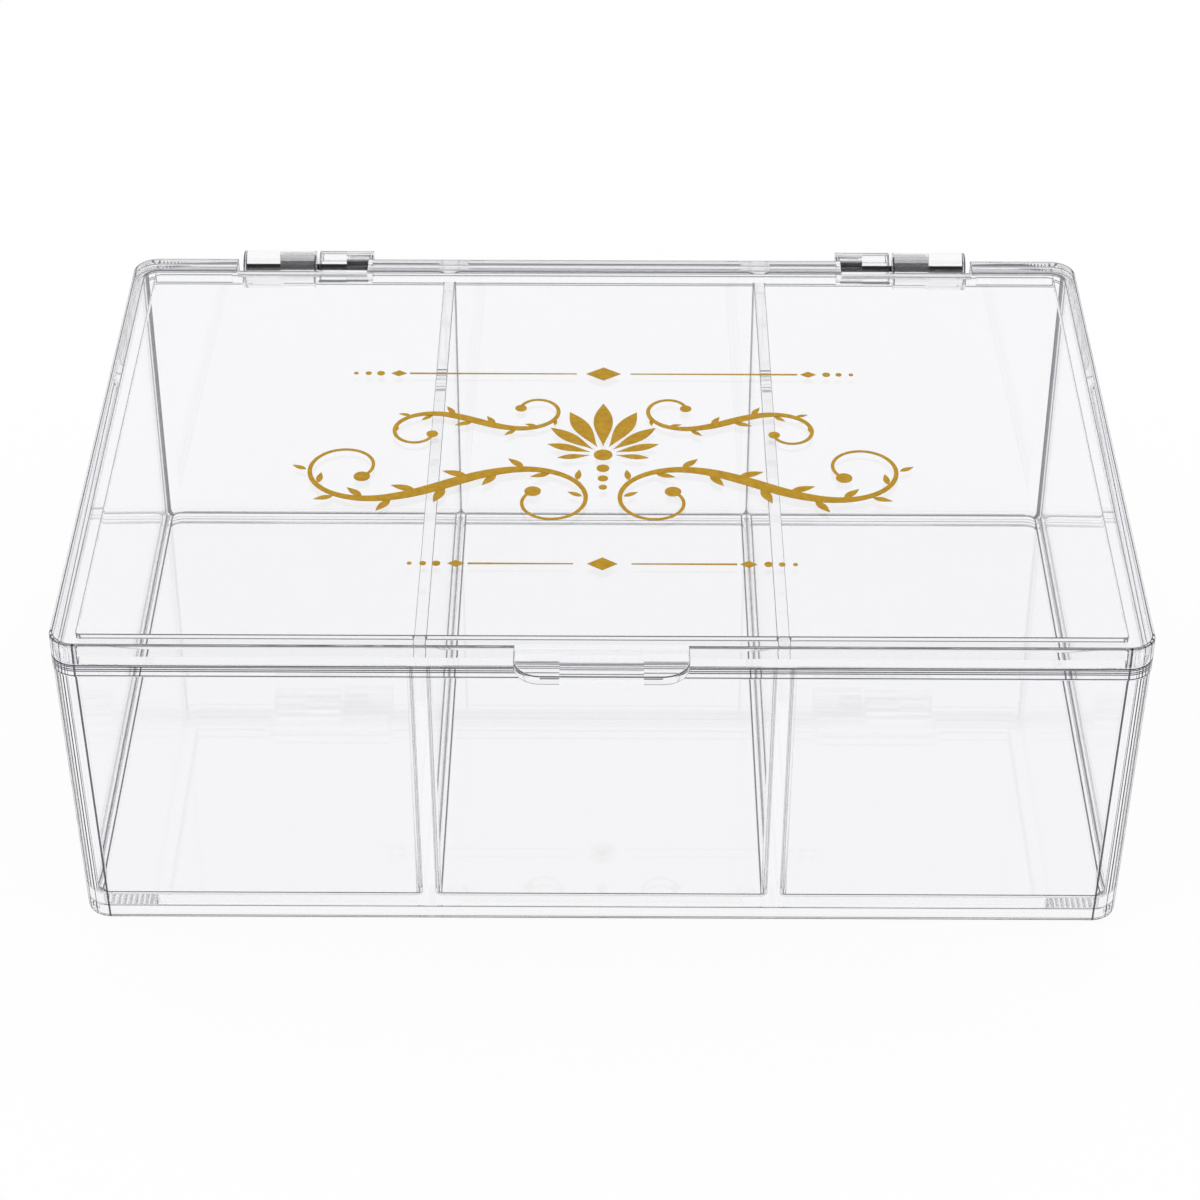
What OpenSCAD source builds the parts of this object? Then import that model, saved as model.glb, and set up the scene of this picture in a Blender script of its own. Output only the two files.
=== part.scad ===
// Clear moulded box with three long compartments and a hinged lid.
// X runs along the width, the front is -Y, Z is up. Origin: bottom centre of the whole box's bounding box.

/* [Box] */
// Outside width of the lid and of the tray's rim
box_w = 240; // [200:5:280]
// Outside depth of the lid and of the tray's rim
box_d = 165; // [140:5:190]
// Height of the closed box
box_h = 82; // [70:1:95]
// Radius of the upright outer corners
corner_r = 6; // [4:0.5:8]
// Thickness of the tray's walls
wall = 2.5; // [2:0.1:3]
// How far the front and the back wall lean in from the lid's top to the foot
front_draft = 4; // [0:0.5:5]
// How far each end wall leans in from the lid's top to the foot
end_draft = 0.8; // [0:0.1:2]

/* [Compartments] */
// Number of compartments side by side
compartments = 3; // [2:1:4]
// Thickness of the dividers
divider_t = 2.8; // [2:0.1:3.5]
// Height of the compartments' floor above the table
floor_z = 6; // [5:0.5:8]
// Height of the foot ring, which is the depth of the hollow under the floor
foot_h = 3; // [2:0.5:3.5]
// Radius between the floor and the walls
floor_fillet = 1.5; // [0.5:0.1:1.8]
// Radius of a compartment's corners at the end walls
end_corner_r = 3.5; // [2:0.1:4]
// Radius where a divider runs into the front and the back wall
divider_corner_r = 1.5; // [1.5:0.1:2]

/* [Rim and lid] */
// Height of the bead round the tray's rim
rim_h = 3.3; // [2:0.1:5]
// Height of the lid's frame
lid_h = 5.4; // [4.5:0.1:8]
// Width of the lid's frame, seen from below
lid_frame_w = 5.5; // [4:0.1:8]
// Thickness of the lid's panel inside its frame
lid_panel_t = 2.5; // [2:0.1:3]
// Gap between the lid and the tray's rim
lid_gap = 0.2; // [0.1:0.05:0.4]
// Rounding of the lid's top edge and of the foot
edge_r = 0.8; // [0.4:0.1:1.2]

/* [Finger tab] */
// Width of the finger tab
tab_w = 38; // [25:1:60]
// How far the tab stands out in front
tab_reach = 10.2; // [8:0.1:14]
// Thickness of the tab
tab_t = 2.4; // [2:0.1:3]
// Radius of the tab's front corners
tab_corner_r = 6; // [3:0.5:8]
// Width of the thumb hollow under the tab
thumb_w = 18.1; // [10:0.1:22]
// Depth of the thumb hollow
thumb_depth = 0.7; // [0.3:0.1:1]

/* [Hinges] */
// Radius of the hinge knuckles
knuckle_r = 4.2; // [3.5:0.1:4.3]
// Distance of the hinge axis behind the back wall
axis_back = 4.6; // [4.6:0.1:5.5]
// Where the lid's knuckle starts, from the middle of the box
lid_knuckle_x = 59.5; // [40:0.1:70]
// Length of the lid's knuckle
lid_knuckle_l = 13.8; // [8:0.1:20]
// Length of the tray's knuckle
tray_knuckle_l = 18.7; // [10:0.1:20]
// Gap between the two knuckles of a hinge
knuckle_gap = 0.9; // [0.3:0.1:1.5]
// Radius of the hinge pin
pin_r = 0.8; // [0.6:0.05:1]
// Clearance round the pin
pin_clearance = 0.05; // [0.02:0.01:0.1]
// How far a pin's ends lie inside the knuckles' ends
pin_inset = 0.5; // [0:0.1:2]
// Height of the heel that stops the open lid against the tray
heel_h = 3.1; // [2:0.1:3.2]
// How far the notch over each hinge reaches in from the lid's back, at the lid's top
notch_d = 6.8; // [6.5:0.1:7.5]
// How far its deeper part reaches in
notch_deep_d = 5; // [4.5:0.1:5.3]
// Height of the shallow step between the two
notch_step_h = 1.5; // [1:0.1:1.7]
// Thickness of the notch's front wall and of its floor
notch_wall = 1.3; // [1:0.1:1.6]
// Room beside the tray's knuckle in the notch
notch_gap = 0.8; // [0.5:0.1:1.5]
// How far the lid's knuckle runs on behind the uncut frame
knuckle_overlap = 1; // [0.8:0.1:2]

/* [Hidden] */
clear_plastic = [0.86, 0.89, 0.93, 0.35];
steel = [0.45, 0.45, 0.47];
thin = 0.01;
past = 1;
round_steps = 3;
tray_h = box_h - lid_h;
lid_bottom = tray_h + lid_gap;
axis_y = box_d / 2 + axis_back;
axis_z = tray_h;
bore_r = pin_r + pin_clearance;
tray_knuckle_x = lid_knuckle_x + lid_knuckle_l + knuckle_gap;
notch_x = lid_knuckle_x + knuckle_overlap;
notch_l = tray_knuckle_x + tray_knuckle_l + notch_gap - notch_x;
pin_x = lid_knuckle_x + pin_inset;
pin_l = tray_knuckle_x + tray_knuckle_l - pin_inset - pin_x;
// the finger tab in front and the knuckles behind share the bounding box, whose middle is the origin
shift_y = (tab_reach - axis_back - knuckle_r) / 2;
inner_w = box_w - 2 * wall;
pocket_w = (inner_w - (compartments - 1) * divider_t) / compartments;

function front_lean(z) = front_draft * (1 - z / box_h);
function end_lean(z) = end_draft * (1 - z / box_h);
// a quarter round in a few steps: how far each step is inset, and how high it lies above the edge
function round_inset(r, step) = r * (1 - sin(90 * step / round_steps));
function round_rise(r, step) = r * (1 - cos(90 * step / round_steps));

// Flat outline with round corners, as true arcs.
module outline(w, d, r) {
    square([w - 2 * r, d], center = true);
    square([w, d - 2 * r], center = true);
    for (sx = [-1, 1], sy = [-1, 1])
        translate([sx * (w / 2 - r), sy * (d / 2 - r)]) circle(r = r, $fn = 64);
}

// Four thin discs at the corners of an outline, to hull. An inset shrinks the outline all round.
module corner_discs(w, d, r, z, inset = 0) {
    for (sx = [-1, 1], sy = [-1, 1])
        translate([sx * (w / 2 - r), sy * (d / 2 - r), z])
            cylinder(r = r - inset, h = thin, $fn = 32);
}

// The tray's outer shape, leaning in down to its rounded foot.
module tray_body() {
    bead_z = tray_h - rim_h;
    hull() {
        for (step = [0 : round_steps])
            corner_discs(box_w - 2 * end_lean(0), box_d - 2 * front_lean(0), corner_r,
                         round_rise(edge_r, step), round_inset(edge_r, step));
        corner_discs(box_w - 2 * end_lean(bead_z), box_d - 2 * front_lean(bead_z), corner_r, bead_z);
    }
    translate([0, 0, bead_z]) linear_extrude(rim_h) outline(box_w, box_d, corner_r);
}

// One corner of a compartment at height z: a thin disc that touches both walls there.
module pocket_corner(index, side, sy, z, inset) {
    at_end = (side < 0 && index == 0) || (side > 0 && index == compartments - 1);
    r = at_end ? end_corner_r : divider_corner_r;
    middle_x = (index - (compartments - 1) / 2) * (pocket_w + divider_t);
    lean = at_end ? end_lean(z) : 0;
    translate([middle_x + side * (pocket_w / 2 - lean - r),
               sy * (box_d / 2 - front_lean(z) - wall - r), z])
        cylinder(r = max(r - inset, thin), h = thin, $fn = 32);
}

// The space of one compartment, rounded where its floor meets its walls.
module pocket(index) {
    hull()
        for (side = [-1, 1], sy = [-1, 1]) {
            for (step = [0 : round_steps])
                pocket_corner(index, side, sy, floor_z + round_rise(floor_fillet, step),
                              round_inset(floor_fillet, step));
            pocket_corner(index, side, sy, tray_h + past, 0);
        }
}

// The hollow under the floor, inside the foot ring.
module foot_hollow() {
    translate([0, 0, -past])
        linear_extrude(foot_h + past)
            outline(box_w - 2 * end_lean(0) - 2 * wall, box_d - 2 * front_lean(0) - 2 * wall,
                    corner_r - wall);
}

// A bar of length l along X from the place where it stands; its children are its outline as (Y, Z).
module along_x(l) {
    rotate([90, 0, 90]) linear_extrude(l) children();
}

// Outline of a knuckle on the hinge axis, with its neck to the box from height neck_z to neck_top.
module knuckle_outline(neck_z, neck_top) {
    circle(r = knuckle_r, $fn = 64);
    neck = axis_back + wall / 2;
    translate([-neck, neck_z]) square([neck, neck_top - neck_z]);
}

// The heel on the lid's knuckle, which meets the tray's back when the lid is wide open.
module heel_outline() {
    translate([0, -heel_h]) square([knuckle_r, heel_h]);
}

// Pass-core slots, as a mould without side cores leaves them: the bore is open upwards along the
// inner half of the knuckle and downwards along its outer half.
module pass_core(l) {
    slot_h = knuckle_r + past;
    translate([-past / 2, -bore_r, 0]) cube([(l + past) / 2, 2 * bore_r, slot_h]);
    translate([l / 2, -bore_r, -slot_h]) cube([(l + past) / 2, 2 * bore_r, slot_h]);
}

// Moves its children to the hinge axis at height and depth, a way x from the middle.
module on_axis(x) {
    translate([x, axis_y, axis_z]) children();
}

module bore(x, l) {
    on_axis(x - past) rotate([0, 90, 0]) cylinder(r = bore_r, h = l + 2 * past, $fn = 48);
}

// The right side's shape and its mirror image on the left side.
module both_sides() {
    children();
    mirror([1, 0, 0]) children();
}

module tray() {
    color(clear_plastic)
        translate([0, shift_y, 0])
            difference() {
                union() {
                    tray_body();
                    both_sides() on_axis(tray_knuckle_x) along_x(tray_knuckle_l)
                        knuckle_outline(-knuckle_r, 0);
                }
                for (index = [0 : compartments - 1]) pocket(index);
                foot_hollow();
                both_sides() {
                    bore(tray_knuckle_x, tray_knuckle_l);
                    on_axis(tray_knuckle_x) pass_core(tray_knuckle_l);
                }
            }
}

// Finger tab, flush with the lid's top, with a shallow thumb hollow under it.
module finger_tab() {
    root = lid_frame_w / 2;
    translate([0, -box_d / 2 - tab_reach, box_h - tab_t])
        difference() {
            linear_extrude(tab_t) {
                translate([-tab_w / 2, tab_corner_r]) square([tab_w, tab_reach - tab_corner_r + root]);
                translate([-tab_w / 2 + tab_corner_r, 0]) square([tab_w - 2 * tab_corner_r, tab_corner_r]);
                for (sx = [-1, 1])
                    translate([sx * (tab_w / 2 - tab_corner_r), tab_corner_r]) circle(r = tab_corner_r, $fn = 64);
            }
            translate([0, tab_reach, 0])
                rotate([90, 0, 0])
                    linear_extrude(tab_reach + past)
                        translate([-thumb_w / 2, -past]) square([thumb_w, thumb_depth + past]);
        }
}

// The lid's frame and panel, hollow from below.
module lid_body() {
    difference() {
        hull() {
            corner_discs(box_w, box_d, corner_r, lid_bottom);
            for (step = [0 : round_steps])
                corner_discs(box_w, box_d, corner_r, box_h - thin - round_rise(edge_r, step),
                             round_inset(edge_r, step));
        }
        translate([0, 0, lid_bottom - past])
            linear_extrude(box_h - lid_panel_t - lid_bottom + past)
                outline(box_w - 2 * lid_frame_w, box_d - 2 * lid_frame_w, 1);
    }
}

// Thicker frame inside, where the notch over a hinge leaves only a wall of it.
module notch_backing() {
    back = box_d / 2 - notch_deep_d - notch_wall;
    translate([notch_x - notch_wall, back, lid_bottom])
        cube([notch_l + 2 * notch_wall, box_d / 2 - lid_frame_w + thin - back, box_h - lid_panel_t + thin - lid_bottom]);
}

// The notch in the lid over a hinge, stepped in front and open at the back.
module hinge_notch() {
    open_y = box_d / 2 + (axis_back - knuckle_r) / 2;
    translate([notch_x, box_d / 2 - notch_deep_d, lid_bottom + notch_wall])
        cube([notch_l, open_y - box_d / 2 + notch_deep_d, lid_h]);
    translate([notch_x, box_d / 2 - notch_d, box_h - notch_step_h])
        cube([notch_l, open_y - box_d / 2 + notch_d, lid_h]);
}

module lid() {
    color(clear_plastic)
        translate([0, shift_y, 0])
            difference() {
                union() {
                    lid_body();
                    finger_tab();
                    both_sides() {
                        notch_backing();
                        on_axis(lid_knuckle_x) {
                            along_x(lid_knuckle_l) {
                                knuckle_outline(lid_gap, lid_gap + notch_wall);
                                heel_outline();
                            }
                            along_x(knuckle_overlap) knuckle_outline(lid_gap, knuckle_r);
                        }
                    }
                }
                both_sides() {
                    hinge_notch();
                    bore(lid_knuckle_x, lid_knuckle_l);
                    on_axis(lid_knuckle_x) pass_core(lid_knuckle_l);
                }
            }
}

module hinge_pin() {
    color(steel)
        translate([0, shift_y, 0])
            on_axis(pin_x) rotate([0, 90, 0]) cylinder(r = pin_r, h = pin_l, $fn = 48);
}

module right_hinge_pin() { hinge_pin(); }
module left_hinge_pin() { mirror([1, 0, 0]) hinge_pin(); }

tray();
lid();
left_hinge_pin();
right_hinge_pin();
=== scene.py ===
"""Clear compartment box with a hinged lid: smooth mouldings, hinge pins, gold foil ornament and stage."""

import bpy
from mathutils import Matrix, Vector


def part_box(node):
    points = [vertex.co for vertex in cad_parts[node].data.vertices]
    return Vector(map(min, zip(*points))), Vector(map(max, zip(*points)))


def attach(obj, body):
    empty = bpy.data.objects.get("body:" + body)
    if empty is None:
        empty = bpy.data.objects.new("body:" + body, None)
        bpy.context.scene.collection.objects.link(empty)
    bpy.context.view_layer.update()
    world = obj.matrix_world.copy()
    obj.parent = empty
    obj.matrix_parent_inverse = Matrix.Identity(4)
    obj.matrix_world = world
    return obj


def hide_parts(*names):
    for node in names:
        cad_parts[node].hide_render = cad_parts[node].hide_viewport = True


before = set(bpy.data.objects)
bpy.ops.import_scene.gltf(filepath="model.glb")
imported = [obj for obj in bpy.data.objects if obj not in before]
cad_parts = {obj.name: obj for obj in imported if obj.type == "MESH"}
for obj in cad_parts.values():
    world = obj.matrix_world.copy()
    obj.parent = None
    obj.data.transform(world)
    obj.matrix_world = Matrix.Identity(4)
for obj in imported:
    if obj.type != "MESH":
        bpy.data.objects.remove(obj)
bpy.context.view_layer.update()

import math

import bmesh
import bpy
from bpy.props import FloatProperty, IntProperty, PointerProperty
from mathutils import Matrix, Vector

bl_info = {
    "name": "Clear Compartment Box",
    "version": (1, 0, 0),
    "blender": (4, 5, 0),
    "location": "View3D > Sidebar > Clear Box",
    "description": "Builds the mouldings, hinge pins, lid ornament and stage of a clear hinged box",
    "category": "Object",
}

MM = 0.001
LID_LOW, LID_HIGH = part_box("lid")
PIN_LOW, PIN_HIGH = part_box("right_hinge_pin")
HINGE_Y = (PIN_LOW.y + PIN_HIGH.y) / 2
HINGE_Z = (PIN_LOW.z + PIN_HIGH.z) / 2

# Steps of the mouldings' roundings: along a corner's arc, and across a rounded edge.
ARC_STEPS = 40
EDGE_STEPS = 6
# Polished edges mirror a dark room as thin lines. Here they are painted: chosen strips of the roundings take
# a dark material in this slot, a painted reflection.
PAINTED_LINE_SLOT = 1
# The rows of a small rounding that make one thin line, counted from its first row.
THIN_LINE = (1, 2, 3)
# Upright strips round a corner, as shares of its arc, from the side (0) to the front or the back (1).
FRONT_STRIPES = ((0, 0.1), (0.2, 0.275), (0.375, 0.425), (0.625, 0.65), (0.95, 1))
BACK_STRIPES = ((0, 0.1), (0.3, 0.35))
CORNER_STRIPES = [BACK_STRIPES, BACK_STRIPES, FRONT_STRIPES, FRONT_STRIPES]
END_STRIPES = ((0.2, 0.45),)
DIVIDER_STRIPES = ((0, 0.35),)
# Lines round the rim's bead: how far they start below the rim, and how wide they are.
RIM_LINES = (2.95 * MM, 1.7 * MM, 1.2 * MM, 0.6 * MM)
RIM_LINE_WIDTH = 0.3 * MM
# How far a shape that cuts or joins another runs past it.
PAST = 1 * MM

# A step along a Cornu spiral, as a share of its scale.
SPIRAL_STEP = 0.02
# The ornament's leaves: points along a side, width and root for a length of 1, and lean from the stem.
LEAF_POINTS = 14
LEAF_WIDTH = 0.36
LEAF_ROOT = 0.26
LEAF_LEAN = math.radians(42)
# How much shorter the leaves at a stem's ends are than the one in its middle.
LEAF_TAPER = 0.4
# Places on the ornament, above or below its middle.
PALMETTE_UP, RULE_UP, RULE_DOWN = 3.5 * MM, 38.5 * MM, 40.5 * MM
# Pieces of foil that cross end at different heights, so that no two faces lie in one plane: scrolls are the
# thickest, discs, lozenges and rules have a share of that thickness, and leaves and petals a smaller one.
FOIL_LIFT = 0.002 * MM
DISC_SHARE, LEAF_SHARE = 0.9, 0.8

# The camera: focal length on a 36 mm film, place before the lid's front edge, and turns in degrees.
CAMERA_LENS = 97.19
CAMERA_RIGHT, CAMERA_BEFORE, CAMERA_HEIGHT = 1.5 * MM, 556 * MM, 503.2 * MM
CAMERA_PITCH, CAMERA_YAW, CAMERA_ROLL = 36.305, -0.196, -0.1
# Light crosses the walls' two faces many times, so paths through clear plastic are long.
BOUNCES = 128
# The share of the table's brightness that comes from the light on it, and so can be shaded.
FLOOR_SHADE = 0.06
# The room's grey part: its colour, and between which heights (z) and depths (y) of a direction it fades in.
ROOM_GREY = (0.2, 0.2, 0.21, 1)
ROOM_HIGH = (0.22, 0.34)
ROOM_FRONT = (0.25, -0.05)
WHITE = (1, 1, 1, 1)


def srgb(hex_colour):
    """Turns an sRGB hex colour into linear values."""
    values = [int(hex_colour[i : i + 2], 16) / 255 for i in (1, 3, 5)]
    return [v / 12.92 if v <= 0.04045 else ((v + 0.055) / 1.055) ** 2.4 for v in values]


class BoxSizes(bpy.types.PropertyGroup):
    """Sizes of the box's mouldings."""

    width: FloatProperty(
        name="Width", description="Width of lid and rim", default=LID_HIGH.x - LID_LOW.x, unit="LENGTH"
    )
    height: FloatProperty(
        name="Height", description="Height of the closed box", default=LID_HIGH.z, unit="LENGTH"
    )
    tray_height: FloatProperty(
        name="Tray height", description="Height of rim and hinge axis", default=HINGE_Z, unit="LENGTH"
    )
    tab_reach: FloatProperty(
        name="Tab reach", description="How far the finger tab stands out", default=10.2 * MM, unit="LENGTH"
    )
    axis_back: FloatProperty(
        name="Axis distance", description="Hinge axis behind the back wall", default=4.6 * MM, unit="LENGTH"
    )
    wall: FloatProperty(
        name="Wall", description="Thickness of the tray's walls", default=2.5 * MM, unit="LENGTH"
    )
    front_draft: FloatProperty(
        name="Front draft", description="Lean of front and back wall", default=4 * MM, unit="LENGTH"
    )
    end_draft: FloatProperty(
        name="End draft", description="Lean of the end walls", default=0.8 * MM, unit="LENGTH"
    )
    corner: FloatProperty(
        name="Corner", description="Radius of the upright corners", default=6 * MM, unit="LENGTH"
    )
    compartments: IntProperty(name="Compartments", description="How many side by side", default=3, min=2)
    divider: FloatProperty(
        name="Divider", description="Thickness of the dividers", default=2.8 * MM, unit="LENGTH"
    )
    floor: FloatProperty(
        name="Floor", description="Height of the compartments' floor", default=6 * MM, unit="LENGTH"
    )
    foot: FloatProperty(
        name="Foot", description="Height of the foot ring", default=3 * MM, unit="LENGTH"
    )
    floor_fillet: FloatProperty(
        name="Floor fillet", description="Radius between floor and walls", default=1.5 * MM, unit="LENGTH"
    )
    end_corner: FloatProperty(
        name="End corner", description="Inside radius at the end walls", default=3.5 * MM, unit="LENGTH"
    )
    divider_corner: FloatProperty(
        name="Divider corner", description="Radius beside a divider", default=1.52 * MM, unit="LENGTH"
    )
    bead: FloatProperty(
        name="Bead", description="Height of the rim's bead", default=3.3 * MM, unit="LENGTH"
    )
    lid_frame: FloatProperty(
        name="Lid frame", description="Width of the lid's frame", default=5.5 * MM, unit="LENGTH"
    )
    lid_panel: FloatProperty(
        name="Lid panel", description="Thickness of the lid's panel", default=2.5 * MM, unit="LENGTH"
    )
    lid_gap: FloatProperty(
        name="Lid gap", description="Gap under the lid's frame", default=0.2 * MM, unit="LENGTH"
    )
    edge: FloatProperty(
        name="Edge", description="Rounding of the outer edges", default=0.8 * MM, unit="LENGTH"
    )
    small_edge: FloatProperty(
        name="Small edge", description="Rounding of rims and inner edges", default=0.3 * MM, unit="LENGTH"
    )
    tab_width: FloatProperty(
        name="Tab width", description="Width of the finger tab", default=38 * MM, unit="LENGTH"
    )
    tab_thickness: FloatProperty(
        name="Tab thickness", description="Thickness of the finger tab", default=2.4 * MM, unit="LENGTH"
    )
    tab_corner: FloatProperty(
        name="Tab corner", description="Corner radius of the tab", default=6 * MM, unit="LENGTH"
    )
    thumb_width: FloatProperty(
        name="Thumb hollow", description="Width of the hollow under the tab", default=18.1 * MM, unit="LENGTH"
    )
    thumb_depth: FloatProperty(
        name="Thumb depth", description="Depth of the hollow under the tab", default=0.7 * MM, unit="LENGTH"
    )
    knuckle: FloatProperty(
        name="Knuckle", description="Radius of the hinge knuckles", default=4.2 * MM, unit="LENGTH"
    )
    lid_knuckle_x: FloatProperty(
        name="Lid knuckle start", description="Start of the lid's knuckle", default=59.5 * MM, unit="LENGTH"
    )
    lid_knuckle: FloatProperty(
        name="Lid knuckle", description="Length of the lid's knuckle", default=13.8 * MM, unit="LENGTH"
    )
    tray_knuckle: FloatProperty(
        name="Tray knuckle", description="Length of the tray's knuckle", default=18.7 * MM, unit="LENGTH"
    )
    knuckle_gap: FloatProperty(
        name="Knuckle gap", description="Gap between the knuckles", default=0.9 * MM, unit="LENGTH"
    )
    bore: FloatProperty(
        name="Bore", description="Radius of the pin's bore", default=0.85 * MM, unit="LENGTH"
    )
    heel: FloatProperty(
        name="Heel", description="Height of the lid knuckle's heel", default=3.1 * MM, unit="LENGTH"
    )
    notch: FloatProperty(
        name="Notch", description="Depth of the notch over a hinge", default=6.8 * MM, unit="LENGTH"
    )
    notch_deep: FloatProperty(
        name="Notch inside", description="Depth of the notch under its step", default=5 * MM, unit="LENGTH"
    )
    notch_step: FloatProperty(
        name="Notch step", description="Height of the step in the notch", default=1.5 * MM, unit="LENGTH"
    )
    notch_wall: FloatProperty(
        name="Notch wall", description="Wall under and before the notch", default=1.3 * MM, unit="LENGTH"
    )
    notch_room: FloatProperty(
        name="Notch room", description="Room beside the tray's knuckle", default=0.8 * MM, unit="LENGTH"
    )
    overlap: FloatProperty(
        name="Overlap", description="Length of knuckle behind the uncut frame", default=1 * MM, unit="LENGTH"
    )


class OrnamentSizes(bpy.types.PropertyGroup):
    """Sizes of the gold ornament on the lid."""

    middle: FloatProperty(
        name="Middle", description="Its middle behind the lid's front edge", default=71.5 * MM, unit="LENGTH"
    )
    foil: FloatProperty(
        name="Foil", description="Thickness of the foil", default=0.1 * MM, unit="LENGTH"
    )
    scroll: FloatProperty(
        name="Scroll", description="Scale of the large Cornu scrolls", default=34.5 * MM, unit="LENGTH"
    )
    small_scroll: FloatProperty(
        name="Small scroll", description="Scale of the small Cornu scrolls", default=21 * MM, unit="LENGTH"
    )
    thin: FloatProperty(
        name="Thin stroke", description="Width of a stroke's ends", default=0.8 * MM, unit="LENGTH"
    )
    thick: FloatProperty(
        name="Thick stroke", description="Width of a large scroll's middle", default=3.2 * MM, unit="LENGTH"
    )
    leaf: FloatProperty(
        name="Leaf", description="Length of the largest leaves", default=6.4 * MM, unit="LENGTH"
    )
    leaves: IntProperty(name="Leaves", description="Leaves along a large scroll", default=13, min=2)
    petal: FloatProperty(
        name="Petal", description="Length of the palmette's middle petal", default=18.5 * MM, unit="LENGTH"
    )
    rule: FloatProperty(
        name="Rule", description="Half length of the upper rule", default=47 * MM, unit="LENGTH"
    )
    rule_width: FloatProperty(
        name="Rule width", description="Width of the rules", default=0.6 * MM, unit="LENGTH"
    )


def depth_of(s):
    """Outside depth of lid and rim, from the lid's box."""
    return LID_HIGH.y - LID_LOW.y - s.tab_reach - s.axis_back - s.knuckle


def middle_y(s):
    """The box's middle, between finger tab and knuckles."""
    return LID_LOW.y + s.tab_reach + depth_of(s) / 2


def lid_top(s):
    """Height of the lid's moulding: the foil on it ends at the full height."""
    return s.height - bpy.context.scene.ornament_sizes.foil


def front_lean(s, z):
    """How far the front and the back wall stand in at height z."""
    return s.front_draft * (1 - z / s.height)


def end_lean(s, z):
    """How far the end walls stand in at height z."""
    return s.end_draft * (1 - z / s.height)


def loop(corners, z, inset=0.0):
    """A closed outline at height z from four corner arcs (x, y, radius), right back corner first."""
    points = []
    for index, (x, y, radius) in enumerate(corners):
        r = max(radius - inset, 0.001 * MM)
        for step in range(ARC_STEPS + 1):
            angle = math.radians(90) * (index + step / ARC_STEPS)
            points.append(Vector((x + r * math.cos(angle), y + r * math.sin(angle), z)))
    return points


def plate_corners(width, depth, radius, y=0.0):
    """Corner arcs of a centred rounded rectangle."""
    x_c, y_c = width / 2 - radius, depth / 2 - radius
    return [(x_c, y + y_c, radius), (-x_c, y + y_c, radius), (-x_c, y - y_c, radius), (x_c, y - y_c, radius)]


def rounded(radius):
    """Inset and rise of a quarter round, from the flat end to the upright side."""
    for step in range(EDGE_STEPS + 1):
        angle = math.radians(90) * step / EDGE_STEPS
        yield radius * (1 - math.sin(angle)), radius * (1 - math.cos(angle))


def line_rows(first):
    """The rows that draw a thin line in the middle of a small rounded edge whose first row is given."""
    return [first + row for row in THIN_LINE]


def loft(name, loops, drawn=(), stripes=(), behind=(), before=()):
    """A closed solid through the loops, with flat ends, and with dark lines of painted reflection in the
    second slot.

    Rows numbered in drawn make a line all round, those in behind one along the back, and those in before one
    along the front and the sides. Stripes make upright lines: ranges along the arc of each corner.
    """
    bm = bmesh.new()
    rows = [[bm.verts.new(p) for p in points] for points in loops]
    count = len(rows[0])
    last_back_column = 2 * ARC_STEPS
    marked_rows = {row % (len(loops) - 1) for row in drawn}
    back_rows = {row % (len(loops) - 1) for row in behind}
    front_rows = {row % (len(loops) - 1) for row in before}
    marked_columns = set()
    for corner, ranges in enumerate(stripes):
        for start, end in ranges:
            for step in range(round(start * ARC_STEPS), round(end * ARC_STEPS)):
                marked_columns.add(corner * (ARC_STEPS + 1) + (ARC_STEPS - 1 - step if corner % 2 else step))
    for row, (low, high) in enumerate(zip(rows, rows[1:])):
        for i in range(count):
            j = (i + 1) % count
            face = bm.faces.new((low[i], low[j], high[j], high[i]))
            side_rows = back_rows if i <= last_back_column else front_rows
            # Marked faces take the dark material of the painted reflection lines.
            if row in marked_rows or i in marked_columns or row in side_rows:
                face.material_index = PAINTED_LINE_SLOT
    bm.faces.new(list(reversed(rows[0])))
    bm.faces.new(rows[-1])
    bmesh.ops.remove_doubles(bm, verts=bm.verts, dist=1e-7)
    bmesh.ops.recalc_face_normals(bm, faces=bm.faces)
    mesh = bpy.data.meshes.new(name)
    bm.to_mesh(mesh)
    bm.free()
    for _ in range(2):
        mesh.materials.append(None)
    obj = bpy.data.objects.new(name, mesh)
    bpy.context.scene.collection.objects.link(obj)
    return obj


def settle(obj):
    """Applies an object's modifiers to its mesh."""
    evaluated = obj.evaluated_get(bpy.context.evaluated_depsgraph_get())
    mesh = bpy.data.meshes.new_from_object(evaluated)
    obj.modifiers.clear()
    obj.data = mesh
    mesh.name = obj.name
    return obj


def combine(obj, others, operation):
    """Joins the others to obj, or cuts them out of it, and removes them."""
    for other in others:
        modifier = obj.modifiers.new("combine", "BOOLEAN")
        modifier.operation = operation
        modifier.solver = "EXACT"
        modifier.object = other
        settle(obj)
        bpy.data.objects.remove(other)
    return obj


def bevelled(obj, width, segments=4):
    """Rounds an object's sharp edges, and paints the roundings dark as lines, a painted reflection."""
    modifier = obj.modifiers.new("rounding", "BEVEL")
    modifier.width = width
    modifier.segments = segments
    modifier.limit_method = "ANGLE"
    modifier.angle_limit = math.radians(50)
    modifier.use_clamp_overlap = True
    # The roundings take the dark material of the painted reflection lines.
    modifier.material = PAINTED_LINE_SLOT
    return settle(obj)


def polished(obj, sharp=math.radians(34)):
    """Smooth shading that keeps the large faces flat, as light passing through them needs."""
    bm = bmesh.new()
    bm.from_mesh(obj.data)
    bmesh.ops.dissolve_degenerate(bm, dist=1e-7, edges=bm.edges)
    for face in bm.faces:
        face.smooth = True
    for edge in bm.edges:
        edge.smooth = len(edge.link_faces) == 2 and edge.calc_face_angle(0.0) < sharp
    bm.to_mesh(obj.data)
    bm.free()
    modifier = obj.modifiers.new("flat faces", "WEIGHTED_NORMAL")
    modifier.mode = "FACE_AREA"
    modifier.weight = 100
    modifier.keep_sharp = True
    return settle(obj)


def prism_along_x(name, outline, x_start, length):
    """A solid of length along X whose outline is given as (y, z) points."""
    loops = [[Vector((x, y, z)) for y, z in outline] for x in (x_start, x_start + length)]
    return loft(name, loops)


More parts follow.
